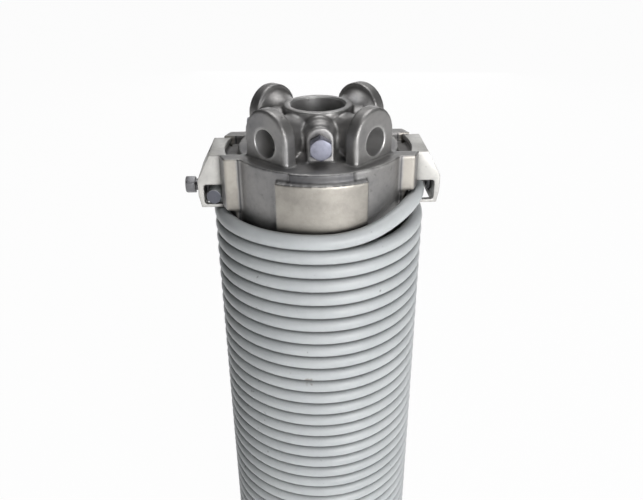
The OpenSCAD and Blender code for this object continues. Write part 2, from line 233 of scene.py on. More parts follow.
class Graph:
    """A thin layer over a node tree that adds nodes and joins sockets."""

    def __init__(self, tree: bpy.types.NodeTree) -> None:
        """Keeps the tree.

        Args:
            tree: The node tree to add to.
        """
        self.tree = tree

    def add(self, kind: str, inputs: dict | None = None, **settings: object) -> bpy.types.Node:
        """Adds one node.

        Args:
            kind: The node's type name.
            inputs: Input name or index to a value or to another node's output.
            **settings: Attributes of the node.

        Returns:
            The new node.
        """
        node = self.tree.nodes.new(kind)
        for name, value in settings.items():
            setattr(node, name, value)
        for key, value in (inputs or {}).items():
            if isinstance(value, Socket):
                self.join(value, node.inputs[key])
            else:
                node.inputs[key].default_value = value
        return node

    def join(self, output: Socket, target: Socket) -> None:
        """Joins an output to an input."""
        self.tree.links.new(output, target)

    def place(self) -> Socket:
        """Gives the place on the object, in metres."""
        return self.add("ShaderNodeTexCoord").outputs["Object"]

    def maths(self, operation: str, *values: object) -> Socket:
        """Adds a Math node.

        Args:
            operation: The name of the operation.
            *values: Numbers or outputs, in order.

        Returns:
            The node's output.
        """
        return self.add("ShaderNodeMath", dict(enumerate(values)), operation=operation).outputs[0]

    def vectors(self, operation: str, *values: object) -> bpy.types.NodeOutputs:
        """Adds a Vector Math node.

        Args:
            operation: The name of the operation.
            *values: Vectors or outputs, in order.

        Returns:
            The node's outputs.
        """
        return self.add("ShaderNodeVectorMath", dict(enumerate(values)), operation=operation).outputs

    def noise(self, place: Socket, scale: object, detail: float = 3.0, rough: float = 0.55) -> Socket:
        """Adds a noise texture.

        Args:
            place: Where to read it.
            scale: Its scale, per metre.
            detail: Its detail.
            rough: Its roughness.

        Returns:
            The noise value.
        """
        inputs = {"Vector": place, "Scale": scale, "Detail": detail, "Roughness": rough}
        return self.add("ShaderNodeTexNoise", inputs).outputs[0]

    def ramp(self, value: Socket, low: object, high: object,
             to_low: float = 0.0, to_high: float = 1.0) -> Socket:
        """Maps a range smoothly onto another.

        Args:
            value: The value to map.
            low: Start of the range read.
            high: End of the range read.
            to_low: Start of the range given.
            to_high: End of the range given.

        Returns:
            The mapped value.
        """
        inputs = {"Value": value, "From Min": low, "From Max": high, "To Min": to_low, "To Max": to_high}
        return self.add("ShaderNodeMapRange", inputs, interpolation_type="SMOOTHSTEP").outputs[0]

    def mix(self, factor: object, low: object, high: object) -> Socket:
        """Mixes two colours.

        Args:
            factor: How much of the second.
            low: The first colour.
            high: The second colour.

        Returns:
            The mixed colour.
        """
        return self.add("ShaderNodeMix", {0: factor, 6: low, 7: high}, data_type="RGBA").outputs[2]


class GroupDraft:
    """A shader group under construction, with its inputs and outputs by name."""

    def __init__(self, name: str, inputs: dict[str, object], outputs: dict[str, str]) -> None:
        """Starts the group.

        Args:
            name: The group's name.
            inputs: Input name to its default, a number or a colour.
            outputs: Output name to its socket kind.
        """
        self.tree = bpy.data.node_groups.new(name, "ShaderNodeTree")
        self.graph = Graph(self.tree)
        for label, default in inputs.items():
            kind = FLOAT if isinstance(default, float) else COLOUR
            socket = self.tree.interface.new_socket(label, in_out="INPUT", socket_type=kind)
            socket.default_value = default
        for label, kind in outputs.items():
            self.tree.interface.new_socket(label, in_out="OUTPUT", socket_type=kind)
        self.given = self.tree.nodes.new("NodeGroupInput").outputs
        self._results = self.tree.nodes.new("NodeGroupOutput").inputs

    def give(self, **results: Socket) -> bpy.types.NodeTree:
        """Joins the group's results.

        Args:
            **results: Output name to the socket that feeds it.

        Returns:
            The finished group.
        """
        for label, result in results.items():
            self.graph.join(result, self._results[label])
        return self.tree


class ShaderGroups:
    """The effects that more than one finish uses, each built once."""

    def __init__(self) -> None:
        """Builds every group."""
        self.mottle = self._mottle()
        self.grain = self._grain()
        self.edges = self._edges()
        self.recess = self._recess()

    @staticmethod
    def _mottle() -> bpy.types.NodeTree:
        """Builds slow changes of tone and gloss over a surface.

        Returns:
            The group.
        """
        inputs = {"Base": (0.5, 0.5, 0.5, 1), "Stain": (0.3, 0.3, 0.3, 1), "Scale": 30.0,
                  "Amount": 0.4, "Gloss Low": 0.4, "Gloss High": 0.55}
        draft = GroupDraft("Mottle", inputs, {"Colour": COLOUR, "Roughness": FLOAT})
        g, given = draft.graph, draft.given
        place = g.place()
        cloud = g.ramp(g.noise(place, given["Scale"], 4.0, 0.6), 0.40, 0.68)
        fine = g.noise(place, 420.0, 3.0, 0.6)
        both = g.maths("MULTIPLY_ADD", g.ramp(fine, 0.45, 0.75), 0.25, cloud)
        amount = g.maths("MULTIPLY", both, given["Amount"])
        span = g.maths("SUBTRACT", given["Gloss High"], given["Gloss Low"])
        return draft.give(Colour=g.mix(amount, given["Base"], given["Stain"]),
                          Roughness=g.maths("MULTIPLY_ADD", fine, span, given["Gloss Low"]))

    @staticmethod
    def _grain() -> bpy.types.NodeTree:
        """Builds the height of a cast or coated skin, and a mask of its pits.

        Returns:
            The group.
        """
        draft = GroupDraft("Skin Grain", {"Fine": 900.0, "Coarse": 160.0, "Pits": 0.4},
                           {"Height": FLOAT, "Pit": FLOAT})
        g, given = draft.graph, draft.given
        place = g.place()
        fine = g.noise(place, given["Fine"], 3.0, 0.6)
        coarse = g.noise(place, given["Coarse"], 2.0, 0.5)
        spots = g.ramp(g.noise(place, 330.0, 2.0, 0.5), 0.66, 0.78)
        pit = g.maths("MULTIPLY", spots, given["Pits"])
        skin = g.maths("MULTIPLY_ADD", coarse, 0.8, g.maths("MULTIPLY", fine, 0.45))
        return draft.give(Height=g.maths("SUBTRACT", skin, pit), Pit=pit)

    @staticmethod
    def _edges() -> bpy.types.NodeTree:
        """Builds a mask of outer edges, for worn edges and for painted shade along sheet edges.

        Returns:
            The group.
        """
        draft = GroupDraft("Edge Wear and Shade", {"Radius": 0.001, "Breakup": 90.0}, {"Mask": FLOAT})
        g, given = draft.graph, draft.given
        rounded = g.add("ShaderNodeBevel", {"Radius": given["Radius"]}, samples=4).outputs[0]
        flat = g.add("ShaderNodeNewGeometry").outputs["Normal"]
        edge = g.ramp(g.vectors("DOT_PRODUCT", rounded, flat)["Value"], 0.985, 0.86)
        patches = g.ramp(g.noise(g.place(), given["Breakup"]), 0.35, 0.62)
        return draft.give(Mask=g.maths("MULTIPLY", edge, patches))

    @staticmethod
    def _recess() -> bpy.types.NodeTree:
        """Builds a mask of grooves and inner corners for painted shade, darker where the surface is hemmed
        in.

        Returns:
            The group.
        """
        draft = GroupDraft("Painted Recess Shade", {"Reach": 0.004, "Open": 0.9, "Shut": 0.35}, {"Mask": FLOAT})
        g, given = draft.graph, draft.given
        near = g.add("ShaderNodeAmbientOcclusion", {"Distance": given["Reach"]}, samples=6)
        return draft.give(Mask=g.ramp(near.outputs["AO"], given["Open"], given["Shut"]))


# ---- Finishes ----------------------------------------------------------------


@dataclass(frozen=True)
class Finish:
    """A metal finish whose tone, gloss and skin change over the surface; lengths are in metres."""

    name: str
    base: Colour
    stain: Colour
    # Edge colour: lighter wear on most finishes, painted shade along the clamp's sheet edges.
    edge_wear_and_shade: Colour
    metallic: float
    gloss: tuple[float, float]
    mottle_scale: float = 28.0
    mottle: float = 0.5
    fine: float = 900.0
    coarse: float = 160.0
    pits: float = 0.4
    pit_tone: float = 0.45
    relief: float = 0.12 * MM
    # Width and share of the edge marks: wear, and painted shade on the clamp's sheet edges.
    edge_mark_radius: float = 0.9 * MM
    edge_wear_and_shade_share: float = 0.5
    rounding: float = 0.6 * MM
    # These three set the painted shade in grooves and inner corners: its share, its reach and its tone.
    recess_shade: float = 0.5
    recess_shade_reach: float = 5 * MM
    recess_shade_tone: float = 0.25

    def build(self, groups: ShaderGroups) -> bpy.types.Material:
        """Makes the material.

        Args:
            groups: The shared shader groups.

        Returns:
            The material.
        """
        material = bpy.data.materials.new(self.name)
        material.use_nodes = True
        g = Graph(material.node_tree)
        skin = g.add("ShaderNodeGroup", {"Fine": self.fine, "Coarse": self.coarse, "Pits": self.pits},
                     node_tree=groups.grain)
        colour, rough = self._tone(g, groups, skin.outputs["Pit"])
        shader = g.tree.nodes["Principled BSDF"]
        shader.inputs["Metallic"].default_value = self.metallic
        g.join(colour, shader.inputs["Base Color"])
        g.join(rough, shader.inputs["Roughness"])
        soft = g.add("ShaderNodeBevel", {"Radius": self.rounding}, samples=4)
        bump = g.add("ShaderNodeBump", {"Height": skin.outputs["Height"], "Distance": self.relief,
                                        "Strength": 1.0, "Normal": soft.outputs[0]})
        g.join(bump.outputs[0], shader.inputs["Normal"])
        return material

    def _tone(self, g: Graph, groups: ShaderGroups, pit: Socket) -> tuple[Socket, Socket]:
        """Lays mottle, pits, edge marks (worn edges, and painted shade along the clamp's sheet edges),
        marks and painted shade in recesses over one another.

        Args:
            g: The material's graph.
            groups: The shared shader groups.
            pit: The mask of the skin's pits.

        Returns:
            The colour and the roughness.
        """
        tone = g.add("ShaderNodeGroup", {"Base": rgba(self.base), "Stain": rgba(self.stain),
                                         "Scale": self.mottle_scale, "Amount": self.mottle,
                                         "Gloss Low": self.gloss[0], "Gloss High": self.gloss[1]},
                     node_tree=groups.mottle)
        edges = g.add("ShaderNodeGroup", {"Radius": self.edge_mark_radius}, node_tree=groups.edges)
        recess = g.add("ShaderNodeGroup", {"Reach": self.recess_shade_reach}, node_tree=groups.recess)
        colour = g.mix(pit, tone.outputs["Colour"], rgba(self.base, self.pit_tone))
        # Edge marks: real wear, and painted shade along the clamp's sheet edges.
        colour = g.mix(g.maths("MULTIPLY", edges.outputs["Mask"], self.edge_wear_and_shade_share), colour, rgba(self.edge_wear_and_shade))
        colour, rough = self.marks(g, colour, tone.outputs["Roughness"])
        # Painted shade: grooves and inner corners darken by the occlusion mask.
        painted_shade = g.maths("MULTIPLY", recess.outputs["Mask"], self.recess_shade)
        return g.mix(painted_shade, colour, rgba(self.base, self.recess_shade_tone)), rough

    def marks(self, g: Graph, colour: Socket, rough: Socket) -> tuple[Socket, Socket]:
        """Lays a finish's own marks over its colour and roughness; a plain finish has none."""
        return colour, rough


@dataclass(frozen=True)
class CastFinish(Finish):
    """The dull casting, rubbed bright on the faces of its pads, with painted shade on the step behind
    them.
    """

    rubbed: Colour = (0.42, 0.395, 0.355)
    rub_radius: float = 46.2 * MM
    rub_floor: float = 24.5 * MM
    rub_blend: float = 0.5 * MM
    rub_ragged: float = 1.2 * MM
    rub_share: float = 0.9
    rub_gloss: float = -0.06
    stain_tone: float = 0.72
    # Colour and share of the painted shade on the upright step, and the radii between which it lies.
    step_shade: Colour = (0.05, 0.05, 0.055)
    step_shade_share: float = 0.7
    step_inner: float = 44.8 * MM
    step_outer: float = 45.9 * MM

    def marks(self, g: Graph, colour: Socket, rough: Socket) -> tuple[Socket, Socket]:
        """Lays the rubbed faces, and the painted shade on the step behind them, over the casting.

        Args:
            g: The material's graph.
            colour: The casting's colour.
            rough: The casting's roughness.

        Returns:
            The colour and the roughness with their marks.
        """
        place = g.place()
        reach = g.vectors("LENGTH", g.vectors("MULTIPLY", place, (1, 1, 0))[0])["Value"]
        upright = self._upright(g, place)
        # Painted shade: darkens the upright step between these two radii.
        step = g.maths("MULTIPLY", g.ramp(reach, self.step_inner, self.step_inner + 0.3 * MM),
                       g.ramp(reach, self.step_outer, self.step_outer - 0.4 * MM))
        painted_shade = g.maths("MULTIPLY", g.maths("MULTIPLY", step, upright), self.step_shade_share)
        colour = g.mix(painted_shade, colour, rgba(self.step_shade))
        middle = g.maths("SUBTRACT", reach, self.rub_ragged / 2)
        ragged = g.maths("MULTIPLY_ADD", g.noise(place, 240.0), self.rub_ragged, middle)
        outer = g.ramp(ragged, self.rub_radius - self.rub_blend, self.rub_radius + self.rub_blend)
        rub = g.maths("MULTIPLY", upright, outer)
        stains = g.ramp(g.noise(place, 75.0, 4.0, 0.65), 0.35, 0.75)
        tint = g.mix(stains, rgba(self.rubbed), rgba(self.rubbed, self.stain_tone))
        return (g.mix(g.maths("MULTIPLY", rub, self.rub_share), colour, tint),
                g.maths("MULTIPLY_ADD", rub, self.rub_gloss, rough))

    def _upright(self, g: Graph, place: Socket) -> Socket:
        """Masks the upright faces above the mounting flange that don't look at the clamps.

        Args:
            g: The material's graph.
            place: The place on the object.

        Returns:
            The mask.
        """
        normal = g.add("ShaderNodeNewGeometry").outputs["Normal"]
        facing = g.add("ShaderNodeSeparateXYZ", {0: normal}).outputs
        wall = g.maths("MULTIPLY", g.ramp(g.maths("ABSOLUTE", facing["Z"]), 0.7, 0.4),
                       g.ramp(g.maths("ABSOLUTE", facing["X"]), 0.8, 0.6))
        height = g.add("ShaderNodeSeparateXYZ", {0: place}).outputs["Z"]
        return g.maths("MULTIPLY", wall, g.maths("GREATER_THAN", height, self.rub_floor))


@dataclass(frozen=True)
class WireFinish(Finish):
    """The coated spring wire, with dark specks and one small rust spot."""

    speck: Colour = (0.09, 0.09, 0.09)
    speck_share: float = 0.5
    rust: Colour = (0.16, 0.10, 0.06)
    rust_share: float = 0.7
    rust_place: tuple[float, float, float] = (-8.0 * MM, -54.6 * MM, 219.0 * MM)
    rust_ragged: float = 4.0 * MM
    rust_inner: float = 3.5 * MM
    rust_outer: float = 5.0 * MM

    def marks(self, g: Graph, colour: Socket, rough: Socket) -> tuple[Socket, Socket]:
        """Lays specks and the rust spot over the coat.

        Args:
            g: The material's graph.
            colour: The coat's colour.
            rough: The coat's roughness.

        Returns:
            The colour with its marks, and the roughness.
        """
        place = g.place()
        specks = g.ramp(g.noise(place, 330.0, 2.0, 0.5), 0.73, 0.78)
        colour = g.mix(g.maths("MULTIPLY", specks, self.speck_share), colour, rgba(self.speck))
        away = g.vectors("DISTANCE", place, self.rust_place)["Value"]
        ragged = g.maths("MULTIPLY_ADD", g.noise(place, 500.0), self.rust_ragged, away)
        rust = g.ramp(ragged, self.rust_outer, self.rust_inner)
        return g.mix(g.maths("MULTIPLY", rust, self.rust_share), colour, rgba(self.rust)), rough


class Finishes:
    """Every finish of the spring, built once."""

    def __init__(self) -> None:
        """Builds the materials."""
        groups = ShaderGroups()
        # The wire gets painted shade in the grooves between its turns.
        self.wire = WireFinish(
            "Coated spring wire", (0.58, 0.605, 0.615), (0.46, 0.485, 0.50), (0.60, 0.62, 0.63),
            metallic=0.0, gloss=(0.34, 0.46), mottle_scale=22.0, fine=700.0, pits=0.1,
            relief=0.05 * MM, edge_wear_and_shade_share=0.0, rounding=0.2 * MM, recess_shade=0.85, recess_shade_reach=4 * MM).build(groups)
        self.cut = Finish(
            "Cut wire end", (0.13, 0.135, 0.16), (0.08, 0.08, 0.09), (0.35, 0.35, 0.42),
            metallic=0.6, gloss=(0.40, 0.55), relief=0.1 * MM, edge_wear_and_shade_share=0.6).build(groups)
        # The casting gets painted shade in its recesses and on the step behind the pads.
        self.casting = CastFinish(
            "Cast aluminium", (0.31, 0.303, 0.298), (0.17, 0.172, 0.182), (0.74, 0.73, 0.71),
            metallic=0.85, gloss=(0.40, 0.58), mottle=0.7, relief=0.13 * MM, edge_wear_and_shade_share=0.9,
            edge_mark_radius=2.8 * MM, rounding=0.5 * MM, recess_shade=0.55, recess_shade_reach=3 * MM).build(groups)
        self.machined = Finish(
            "Machined aluminium", (0.60, 0.595, 0.59), (0.44, 0.438, 0.44), (0.80, 0.79, 0.77),
            metallic=0.8, gloss=(0.32, 0.44), relief=0.05 * MM, rounding=0.4 * MM, recess_shade=0.0).build(groups)
        # The clamp's dark edge colour is painted shade along its sheet edges; it also has painted shade in
        # its recesses.
        self.clamp = Finish(
            "Plated clamp sheet", (0.66, 0.65, 0.62), (0.44, 0.43, 0.42), (0.26, 0.25, 0.24),
            metallic=0.3, gloss=(0.36, 0.52), mottle_scale=60.0, mottle=0.6, relief=0.06 * MM,
            edge_wear_and_shade_share=0.8, edge_mark_radius=1.0 * MM, rounding=0.4 * MM, recess_shade=0.9).build(groups)
        self.zinc = Finish(
            "Zinc-plated bolt", (0.27, 0.275, 0.335), (0.17, 0.17, 0.21), (0.55, 0.55, 0.63),
            metallic=0.85, gloss=(0.34, 0.50), mottle_scale=160.0, mottle=0.8, relief=0.05 * MM,
            rounding=0.4 * MM).build(groups)
        self.dull = Finish(
            "Dull clamp bolt", (0.20, 0.20, 0.21), (0.12, 0.12, 0.12), (0.5, 0.5, 0.5),
            metallic=0.9, gloss=(0.36, 0.5), relief=0.04 * MM, rounding=0.4 * MM).build(groups)


# ---- Mesh helpers ------------------------------------------------------------


def settled(data: bpy.types.ID, modifiers: Sequence[tuple[str, dict]] = ()) -> bpy.types.Mesh:
    """Makes a plain mesh of a mesh or a curve, through modifiers.

    Args:
        data: The mesh or curve, which is used up.
        modifiers: Kind and settings of each modifier, in order.

    Returns:
        The finished mesh.
    """
    holder = bpy.data.objects.new("holder", data)
    bpy.context.collection.objects.link(holder)
    for kind, settings in modifiers:
        modifier = holder.modifiers.new(kind, kind)
        for key, value in settings.items():
            setattr(modifier, key, value)
    done = bpy.data.meshes.new_from_object(holder.evaluated_get(bpy.context.evaluated_depsgraph_get()))
    bpy.data.batch_remove((holder, data))
    return done


def taken_up(mesh: bpy.types.Mesh) -> bmesh.types.BMesh:
    """Takes a mesh up for work.

    Args:
        mesh: The mesh, which is used up.

    Returns:
        The mesh under work, to be freed by the caller.
    """
    work = bmesh.new()
    work.from_mesh(mesh)
    bpy.data.meshes.remove(mesh)
    return work


def kept_mesh(work: bmesh.types.BMesh, name: str) -> bpy.types.Mesh:
    """Stores a mesh under work as a new mesh and frees it.

    Args:
        work: The mesh under work.
        name: The new mesh's name.

    Returns:
        The mesh.
    """
    mesh = bpy.data.meshes.new(name)
    work.to_mesh(mesh)
    work.free()
    return mesh


def merged(node: str) -> bmesh.types.BMesh:
    """Copies a CAD node's mesh and merges its loose triangles.

    Args:
        node: The node's name.

    Returns:
        A closed mesh, to be freed by the caller.
    """
    work = taken_up(frame["nodes"][node].data.copy())
    bmesh.ops.remove_doubles(work, verts=work.verts, dist=0.001 * MM)
    return work


def placed(name: str, mesh: bpy.types.Mesh, node: str,
           materials: Sequence[bpy.types.Material]) -> bpy.types.Object:
    """Puts a finished mesh in the scene in the place of a CAD node.

    Args:
        name: The piece's name.
        mesh: Its mesh, in metres in the frame.
        node: The CAD node that it replaces.
        materials: Its materials, by index.

    Returns:
        The piece.
    """
    for material in materials:
        mesh.materials.append(material)
    piece = bpy.data.objects.new(name, mesh)
    bpy.context.collection.objects.link(piece)
    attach(piece, "root")
    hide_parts(node)
    LOG.info("%s: %d faces", name, len(mesh.polygons))
    return piece


def eased(node: str, material: bpy.types.Material, ease: float) -> bpy.types.Object:
    """Replaces a CAD node by a copy whose hard edges are eased.

    Args:
        node: The node's name.
        material: The material.
        ease: The edges' bevel, in millimetres.

    Returns:
        The piece.
    """
    flat_angle, hard_angle, sharp_angle = math.radians(1), math.radians(28), math.radians(32)
    work = merged(node)
    bmesh.ops.dissolve_limit(work, angle_limit=flat_angle, verts=work.verts, edges=work.edges)
    hard = [e for e in work.edges if len(e.link_faces) == 2 and e.calc_face_angle() > hard_angle]
    bmesh.ops.bevel(work, geom=hard, offset=ease * MM, offset_type="OFFSET", segments=2, profile=0.5,
                    affect="EDGES", clamp_overlap=True, material=-1)
    bmesh.ops.triangulate(work, faces=[f for f in work.faces if len(f.verts) > 4])
    for face in work.faces:
        face.smooth = True
    mesh = kept_mesh(work, f"{node}_eased")
    mesh.set_sharp_from_angle(angle=sharp_angle)
    return placed(f"{node}_eased", mesh, node, (material,))


# ---- Spring wire -------------------------------------------------------------


@dataclass(frozen=True)
class SpringWire:
    """The one wire: close turns, and at each end a lift, a clamped turn and a straight cut tail."""

    sizes: SpringSizes = SIZES
    lift: LiftArc = LiftArc.fitted(SIZES)
    step: float = 5.625
    tail_steps: int = 4
    ring_resolution: int = 7
    cut_ease: float = 0.35
    cut_flatness: float = 0.01

    def _angles(self, start: float, stop: float) -> list[float]:
        """Splits a turn into equal steps, leaving out its last angle."""
        count = max(2, round(abs(stop - start) / self.step))
        return [start + (stop - start) * index / count for index in range(count)]

    def _on_coil(self, angle: float, along: float = 0.0) -> Vector:
        """Gives a point on the coil's circle, or on its tangent some way along."""
        return turned(angle) @ Vector((self.sizes.coil_r, along, 0))

    def _on_lift(self, side: int, angle: float) -> Vector:
        """Gives a point on a lift arc, before its turn about the shaft.

        Args:
            side: 1 for the arc that climbs, -1 for the one that comes down.
            angle: The angle along the arc, in degrees.

        Returns:
            The point.
        """
        turn, lean = math.radians(angle), math.radians(side * self.lift.lean)
        across = self.lift.radius * (math.cos(turn) - 1)
        return Vector((self.sizes.coil_r + across * math.cos(lean), self.lift.radius * math.sin(turn),
                       -across * math.sin(lean)))

    def end_points(self) -> list[Vector]:
        """Gives the wire's middle line at one end, about the drum's face.

        Returns:
            Points from the cut end to where the close turns begin.
        """
        sizes, lift = self.sizes, self.lift
        clamped, joint = Vector((0, 0, -sizes.clamped_depth)), Vector((0, 0, -sizes.joint_depth))
        points = [self._on_coil(sizes.tail_angle, sizes.tail_length * step / self.tail_steps) + clamped
                  for step in range(self.tail_steps, 0, -1)]
        points += [self._on_coil(angle) + clamped
                   for angle in self._angles(sizes.tail_angle, sizes.leave_angle)]
        points += [turned(sizes.leave_angle) @ self._on_lift(-1, angle) + clamped
                   for angle in self._angles(0, -lift.turn)]
        points += [turned(sizes.joint_angle) @ self._on_lift(1, angle) + joint
                   for angle in self._angles(lift.turn, 0)]
        return points

    def close_points(self) -> list[Vector]:
        """Gives the middle line of the close turns, from the top down.

        Returns:
            Points in millimetres in the frame.
        """
        sizes, points = self.sizes, []
        for half in reversed(range(2 * sizes.close_turns)):
            start = sizes.joint_angle + 180 * (half % 2)
            floor = sizes.face_low + sizes.joint_depth + half * sizes.pitch / 2
            for angle in self._angles(180, 0):
                rise = sizes.pitch / 4 * (1 - math.cos(math.radians(angle)))
                points.append(self._on_coil(start + angle) + Vector((0, 0, floor + rise)))
        return points

    def path(self) -> list[Vector]:
        """Gives the whole middle line, from the winding end's cut to the stationary end's.

        Returns:
            Points in metres in the frame.
        """
        return ([end_matrix(End.WINDING) @ point for point in self.end_points()]
                + [point * MM for point in self.close_points()]
                + [end_matrix(End.STATIONARY) @ point for point in reversed(self.end_points())])

    def _swept(self, path: Sequence[Vector]) -> bmesh.types.BMesh:
        """Sweeps the round wire along its middle line.

        Args:
            path: The middle line, in metres.

        Returns:
            A closed mesh, to be freed by the caller.
        """
        curve = bpy.data.curves.new("wire_path", "CURVE")
        curve.dimensions, curve.twist_mode = "3D", "Z_UP"
        curve.bevel_depth, curve.bevel_resolution = self.sizes.wire_d / 2 * MM, self.ring_resolution
        curve.use_fill_caps = True
        spline = curve.splines.new("POLY")
        spline.points.add(len(path) - 1)
        for point, place in zip(spline.points, path):
            point.co = (*place, 1)
        work = taken_up(settled(curve))
        bmesh.ops.remove_doubles(work, verts=work.verts, dist=0.0001 * MM)
        bmesh.ops.recalc_face_normals(work, faces=work.faces)
        for face in work.faces:
            face.smooth, face.material_index = True, 0
        return work

    def _finish_cut(self, work: bmesh.types.BMesh, place: Vector, inside: Vector) -> None:
        """Makes a cut end one flat face with an eased rim and its own finish.

        Args:
            work: The wire's mesh.
            place: The middle of the cut, in metres.
            inside: The next point of the wire's middle line.
        """
        out = (place - inside).normalized()
        reach, thin = self.sizes.wire_d * MM, self.cut_flatness * MM
        cap = [face for face in work.faces
               if all(abs((v.co - place).dot(out)) < thin and (v.co - place).length < reach
                      for v in face.verts)]
        if len(cap) > 1:
            cap = bmesh.ops.dissolve_faces(work, faces=cap)["region"]
        for face in cap:
            face.smooth, face.material_index = False, 1
        bmesh.ops.bevel(work, geom=list(cap[0].edges), offset=self.cut_ease * MM, offset_type="OFFSET",
                        segments=2, profile=0.5, affect="EDGES", material=-1)

    def build(self, finishes: Finishes) -> bpy.types.Object:
        """Sweeps the wire, finishes its cut ends and dresses it.

        Args:
            finishes: The finishes.

        Returns:
            The wire.
        """
        path = self.path()
        work = self._swept(path)
        self._finish_cut(work, path[0], path[1])
        self._finish_cut(work, path[-1], path[-2])
        return placed("wire", kept_mesh(work, "wire"), "spring_coil",
                      (finishes.wire, finishes.cut))


# ---- Cast plugs --------------------------------------------------------------


@dataclass(frozen=True)
class Bore:
    """A machined round hole, in millimetres about a drum's face.

    It runs from its start to its mouth, along the shaft or, where it has a turn, out from the shaft.
    """

    radius: float
    start: float
    mouth: float
    chamfer: float
    turn: float | None = None
    height: float = 0.0
    across: float = 0.0
    overrun: float = 0.0
    sides: int = 96
    filler_margin: float = 0.8

    @property
    def length(self) -> float:
        """Length from the start to the mouth."""
        return self.mouth - self.start

    def place(self) -> Matrix:
        """Gives the placing of a hole drawn along +Z from its start.

        Returns:
            A matrix in millimetres about the drum's face.
        """
        if self.turn is None:
            return Matrix.Translation((0, self.across, self.start))
        return (turned(self.turn) @ Matrix.Translation((self.start, 0, self.height))
                @ Matrix.Rotation(math.pi / 2, 4, "Y"))

    def fill(self, work: bmesh.types.BMesh, end: End) -> None:
        """Fills the hole flush with its mouth, so that the casting softens without it.

        Args:
            work: The mesh to add to.
            end: The plug's end.
        """
        radius = self.radius + self.chamfer + self.filler_margin
        place = end_matrix(end) @ self.place() @ Matrix.Translation((0, 0, self.length / 2))
        bmesh.ops.create_cone(work, cap_ends=True, segments=64, radius1=radius, radius2=radius,
                              depth=self.length, matrix=place)

    def cut(self, work: bmesh.types.BMesh, end: End, past_mouth: float = 1.0) -> None:
        """Adds the turned tool that cuts the hole and the chamfer at its mouth.

        Args:
            work: The mesh to add to.
            end: The plug's end.
            past_mouth: How far the tool reaches past the mouth, in millimetres.
        """
        top, flare = self.length + past_mouth, self.chamfer + past_mouth
        profile = ((0, -self.overrun), (self.radius, -self.overrun),
                   (self.radius, self.length - self.chamfer), (self.radius + flare, top), (0, top))
        place = end_matrix(end) @ self.place()
        axis = (place.to_3x3() @ Vector((0, 0, 1))).normalized()
        verts = [work.verts.new(place @ Vector((radius, 0, height))) for radius, height in profile]
        edges = [work.edges.new(pair) for pair in zip(verts, verts[1:])]
        bmesh.ops.spin(work, geom=verts + edges, cent=place.translation, axis=axis,
                       angle=2 * math.pi, steps=self.sides, use_merge=True)


@dataclass(frozen=True)
class CastPlug:
    """A plug as it comes from the mould, with soft edges, and then bored and drilled."""

    end: End
    bores: tuple[Bore, ...]
    voxel: float = 0.7
    passes: int = 5
    kept: float = 0.30
    weld: float = 0.002
    sharp_angle: float = 38.0

    @property
    def node(self) -> str:
        """The name of the plug's CAD node."""
        return f"{self.end.value}_plug"

    def _casting(self) -> bpy.types.Mesh:
        """Makes the rough casting with its holes still filled.

        Returns:
            Its mesh, with soft edges and fillets, kept inside the solid's own box.
        """
        work = merged(self.node)
        low = [min(v.co[axis] for v in work.verts) for axis in range(3)]
        high = [max(v.co[axis] for v in work.verts) for axis in range(3)]
        for bore in self.bores:
            bore.fill(work, self.end)
        work = taken_up(settled(kept_mesh(work, "rough_casting"), [
            ("REMESH", {"mode": "VOXEL", "voxel_size": self.voxel * MM, "use_smooth_shade": True}),
            ("SMOOTH", {"factor": 0.5, "iterations": self.passes}),
            ("DECIMATE", {"ratio": self.kept})]))
        for vert in work.verts:
            vert.co = [min(max(vert.co[axis], low[axis]), high[axis]) for axis in range(3)]
        for face in work.faces:
            face.smooth, face.material_index = True, 0
        return kept_mesh(work, "casting")

    def _boring_tool(self) -> bpy.types.Mesh:
        """Makes the tools that cut every hole.

        Returns:
            Their mesh, whose faces carry the machined finish.
        """
        work = bmesh.new()
        for bore in self.bores:
            bore.cut(work, self.end)
        bmesh.ops.remove_doubles(work, verts=work.verts, dist=0.001 * MM)
        bmesh.ops.recalc_face_normals(work, faces=work.faces)
        for face in work.faces:
            face.smooth, face.material_index = True, 1
        return kept_mesh(work, "boring_tool")

    def _closed(self, mesh: bpy.types.Mesh) -> bpy.types.Mesh:
        """Welds the slivers that boring leaves, so that the plug is one closed skin.

        Args:
            mesh: The bored casting, which is used up.

        Returns:
            The closed mesh.
        """
        work = taken_up(mesh)
        bmesh.ops.remove_doubles(work, verts=work.verts, dist=self.weld * MM)
        bmesh.ops.dissolve_degenerate(work, edges=work.edges, dist=self.weld * MM)
        bmesh.ops.triangulate(work, faces=work.faces)
        return kept_mesh(work, f"{self.node}_casting")

    def build(self, finishes: Finishes) -> bpy.types.Object:
        """Casts, bores and dresses the plug.

        Args:
            finishes: The finishes.

        Returns:
            The plug.
        """
        materials = (finishes.casting, finishes.machined)
        casting, tool_mesh = self._casting(), self._boring_tool()
        for mesh in (casting, tool_mesh):
            for material in materials:
                mesh.materials.append(material)
        tool = bpy.data.objects.new("boring_tool", tool_mesh)
        bpy.context.collection.objects.link(tool)
        bored = settled(casting, [("BOOLEAN", {"operation": "DIFFERENCE", "solver": "EXACT",
                                               "use_self": True, "object": tool})])
        bpy.data.batch_remove((tool, tool_mesh))
        mesh = self._closed(bored)
        mesh.set_sharp_from_angle(angle=math.radians(self.sharp_angle))
        return placed(f"{self.node}_casting", mesh, self.node, materials)


